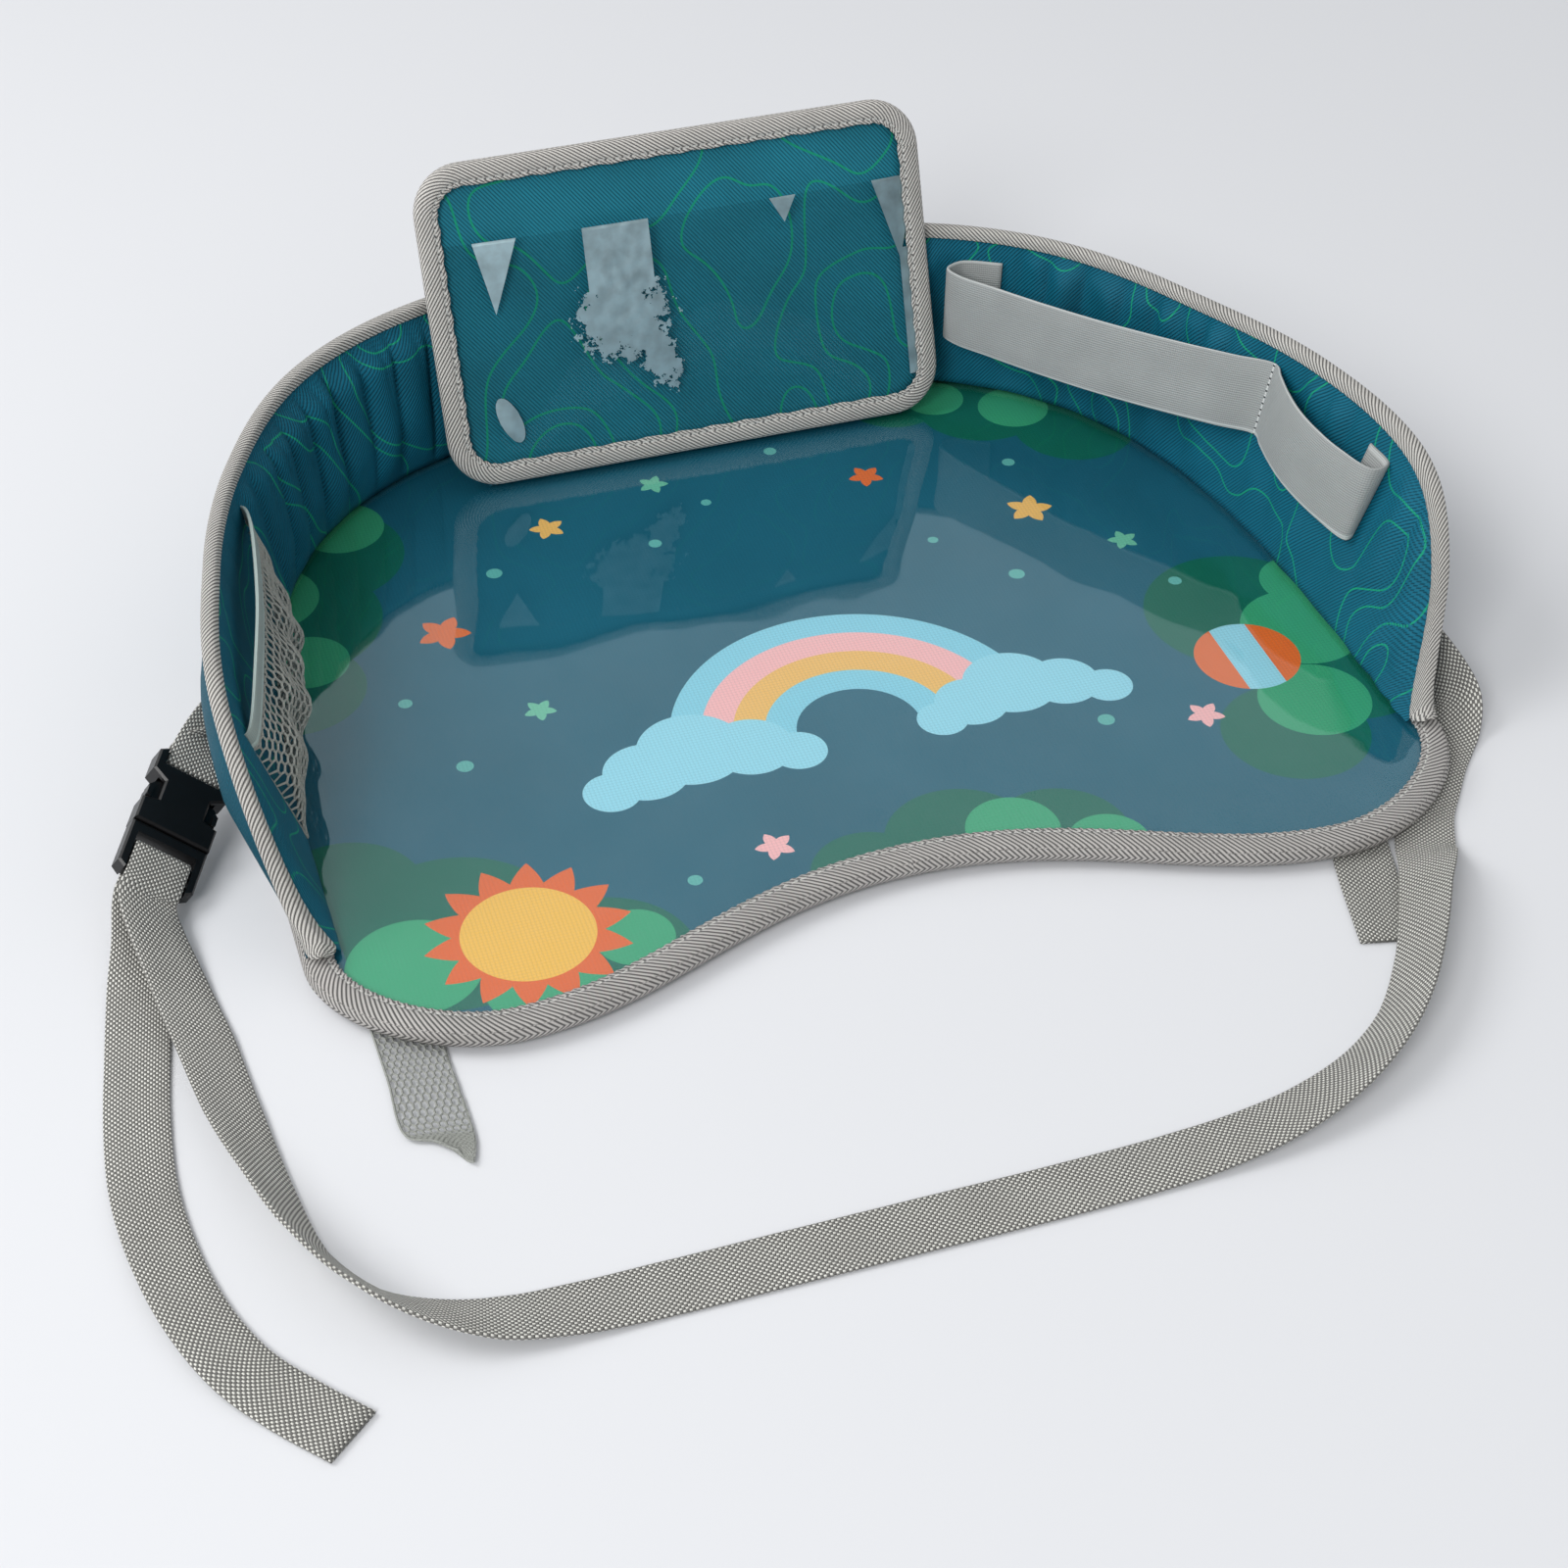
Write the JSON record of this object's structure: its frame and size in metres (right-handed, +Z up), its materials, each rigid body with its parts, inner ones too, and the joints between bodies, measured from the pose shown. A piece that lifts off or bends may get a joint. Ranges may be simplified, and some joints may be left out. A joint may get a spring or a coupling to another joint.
{
  "type": "kids travel tray",
  "caption": "Soft-walled lap tray for a child's car seat, with a stiff printed floor, a folding phone panel, elastic loops, mesh pockets and a buckled webbing belt.",
  "frame": {"origin": "middle of the floor's underside, on the surface that the tray stands on", "axes": "+X to the right of the tray, seen from the child's side; +Y to its back wall; +Z up"},
  "size_m": [0.4903, 0.478, 0.1254],
  "materials": {
    "base_fabric": "matt woven",
    "floor_foam": "foam sheet",
    "floor_board": "stiff sheet",
    "floor_print_fabric": "printed, fine weave",
    "floor_clear_film": "clear, glossy",
    "floor_binding": "ribbed twill tape",
    "wall_inner_fabric": "woven",
    "wall_foam": "foam sheet",
    "wall_outer_fabric": "woven",
    "rim_binding": "herringbone tape",
    "panel_front_fabric": "woven",
    "panel_board": "stiff sheet",
    "panel_back_fabric": "woven",
    "panel_binding": "ribbed twill tape",
    "panel_window_film": "clear, glossy",
    "panel_hinge_strip": "woven",
    "pen_elastic": "smooth elastic tape",
    "mesh_pocket_net": "open hexagonal net",
    "mesh_pocket_elastic": "smooth elastic tape",
    "corner_mesh_pocket": "open hexagonal net",
    "buckle_female": "satin",
    "buckle_male": "satin",
    "buckle_prong_left": "satin",
    "buckle_prong_right": "satin",
    "buckle_loop_webbing": "woven webbing",
    "belt_webbing": "woven webbing",
    "strap_cut_end": "woven webbing"
  },
  "bodies": {
    "tray": {"base_fabric": "base_fabric", "floor_foam": "floor_foam", "floor_board": "floor_board", "floor_print_fabric": "floor_print_fabric", "floor_clear_film": "floor_clear_film", "floor_binding": "floor_binding", "wall_inner_fabric": "wall_inner_fabric", "wall_foam": "wall_foam", "wall_outer_fabric": "wall_outer_fabric", "rim_binding": "rim_binding", "panel_hinge_strip": "panel_hinge_strip", "pen_elastic": "pen_elastic", "mesh_pocket_net": "mesh_pocket_net", "mesh_pocket_elastic": "mesh_pocket_elastic", "corner_mesh_pocket": "corner_mesh_pocket", "buckle_female": "buckle_female", "buckle_male": "buckle_male", "buckle_loop_webbing": "buckle_loop_webbing", "belt_webbing": "belt_webbing", "strap_cut_end": "strap_cut_end"},
    "phone_panel": {"panel_front_fabric": "panel_front_fabric", "panel_board": "panel_board", "panel_back_fabric": "panel_back_fabric", "panel_binding": "panel_binding", "panel_window_film": "panel_window_film"},
    "prong_left": {"buckle_prong_left": "buckle_prong_left"},
    "prong_right": {"buckle_prong_right": "buckle_prong_right"}
  },
  "joints": [
    {"name": "panel_fold", "type": "hinge", "parent": "tray", "child": "phone_panel", "pos_m": [0.0045, 0.1205, 0.01295], "axis": [1, 0, 0], "range_deg": [0, 105]},
    {"name": "prong_left_press", "type": "slide", "parent": "tray", "child": "prong_left", "axis": [0.7755, -0.2827, -0.5645], "range_m": [0, 0.0024], "stiffness_N_per_m": 800},
    {"name": "prong_right_press", "type": "slide", "parent": "tray", "child": "prong_right", "axis": [-0.7755, 0.2827, 0.5645], "range_m": [0, 0.0024], "stiffness_N_per_m": 800}
  ]
}
